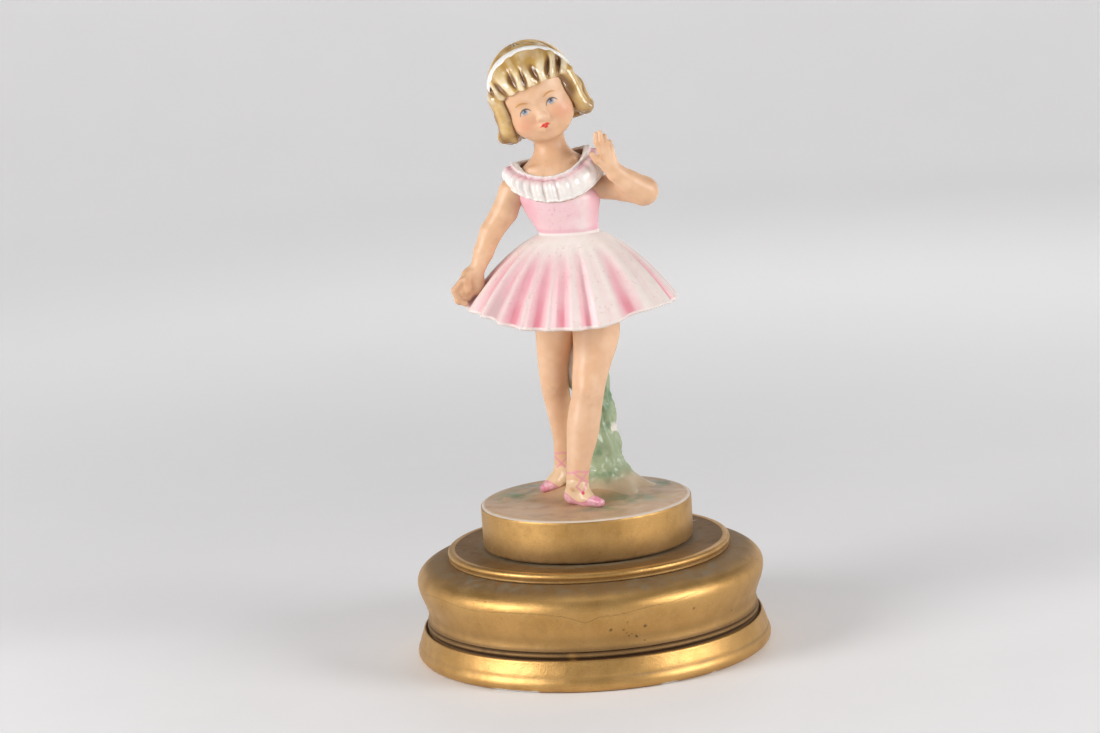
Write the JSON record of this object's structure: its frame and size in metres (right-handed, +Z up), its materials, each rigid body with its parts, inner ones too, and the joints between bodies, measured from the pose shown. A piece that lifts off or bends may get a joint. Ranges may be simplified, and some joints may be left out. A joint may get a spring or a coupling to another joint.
{
  "type": "musical figurine",
  "caption": "Porcelain dancer on a gilt drum that revolves on a turned gilt base, driven by a wind-up comb music movement.",
  "frame": {"origin": "on the turning axis, on the plane that the base stands on", "axes": "+Z up along the turning axis; the dancer faces -Y, and her own right hand is on -X"},
  "size_m": [0.1256, 0.1256, 0.215],
  "materials": {
    "gilt_wood": "satin gold paint over turned wood",
    "board": "plain hardboard",
    "plywood": "raw plywood",
    "steel": "turned and hardened steel",
    "cast_zinc": "die-cast zinc alloy",
    "brass": "turned and stamped brass",
    "key_nickel": "nickel-plated steel",
    "fly_metal": "thin sheet",
    "bisque_skin": "painted unglazed porcelain",
    "pink_dress": "painted porcelain with a thin glaze",
    "white_glaze": "white glaze",
    "hair_glaze": "golden brown glaze",
    "pink_shoe": "painted porcelain",
    "stump_green": "mottled green over white",
    "ground_tan": "tan paint with green smudges"
  },
  "bodies": {
    "base": {"foot_ring": "gilt_wood", "body_shell": "gilt_wood", "top_step": "gilt_wood", "bottom_plate": "board", "bottom_plate_screws": "steel", "movement_screws": "steel", "bedplate": "cast_zinc", "bridge_pillars": "brass", "barrel_bridge": "brass", "bridge_screws": "steel", "inner_bearing": "brass", "outer_bearing": "brass", "governor_bearing": "brass", "governor_bracket": "brass", "comb_block": "cast_zinc", "tone_comb": "steel", "comb_screws": "steel", "click_screw": "steel", "click_spring": "steel", "spindle_bush": "brass", "thrust_washer": "steel"},
    "click_body": {"click": "steel"},
    "winding": {"winding_arbor": "steel", "ratchet_wheel": "steel", "winding_key": "key_nickel"},
    "turntable": {"spring_barrel": "brass", "barrel_cover": "brass", "mainspring": "steel", "crown_gear": "brass", "output_spindle": "steel", "turntable_disc": "plywood", "turntable_hub": "brass", "hub_set_screw": "steel", "turntable_drum": "gilt_wood", "ground_mound": "ground_tan", "left_slipper": "pink_shoe", "right_slipper": "pink_shoe", "left_leg": "bisque_skin", "right_leg": "bisque_skin", "tree_stump": "stump_green", "skirt": "pink_dress", "bodice": "pink_dress", "collar_ruffle": "white_glaze", "head": "bisque_skin", "hair": "hair_glaze", "headband": "white_glaze", "right_arm": "bisque_skin", "right_hand": "bisque_skin", "left_arm": "bisque_skin", "left_hand": "bisque_skin"},
    "cylinder": {"pinned_cylinder": "brass", "cylinder_arbor": "steel", "cylinder_pinion": "brass", "great_wheel": "brass"},
    "governor_wheel": {"governor_pinion": "brass", "worm_wheel": "brass"},
    "governor_fly": {"fly_worm": "steel", "fly_fan": "fly_metal"}
  },
  "joints": [
    {"name": "turntable_spin", "type": "hinge", "parent": "base", "child": "turntable", "pos_m": [0, 0, 0.035], "axis": [0, 0, 1], "continuous": true},
    {"name": "key_wind", "type": "hinge", "parent": "base", "child": "winding", "pos_m": [0, 0, 0.016], "axis": [0, 0, 1], "continuous": true},
    {"name": "click_pivot", "type": "hinge", "parent": "base", "child": "click_body", "pos_m": [-0.012, 0.008, 0.0167], "axis": [0, 0, 1], "range_deg": [0, 8], "stiffness_Nm_per_rad": 0.0002},
    {"name": "cylinder_spin", "type": "hinge", "parent": "base", "child": "cylinder", "pos_m": [0.03, 0, 0.02444], "axis": [1, 0, 0], "continuous": true},
    {"name": "governor_wheel_spin", "type": "hinge", "parent": "base", "child": "governor_wheel", "pos_m": [0.04, 0.009, 0.02635], "axis": [1, 0, 0], "continuous": true},
    {"name": "fly_spin", "type": "hinge", "parent": "base", "child": "governor_fly", "pos_m": [0.0412, 0.0155, 0.02], "axis": [0, 0, 1], "continuous": true}
  ],
  "couplings": [
    {"joint": "cylinder_spin", "follows": "turntable_spin", "ratio": 4},
    {"joint": "governor_wheel_spin", "follows": "turntable_spin", "ratio": -19},
    {"joint": "fly_spin", "follows": "turntable_spin", "ratio": 380}
  ]
}
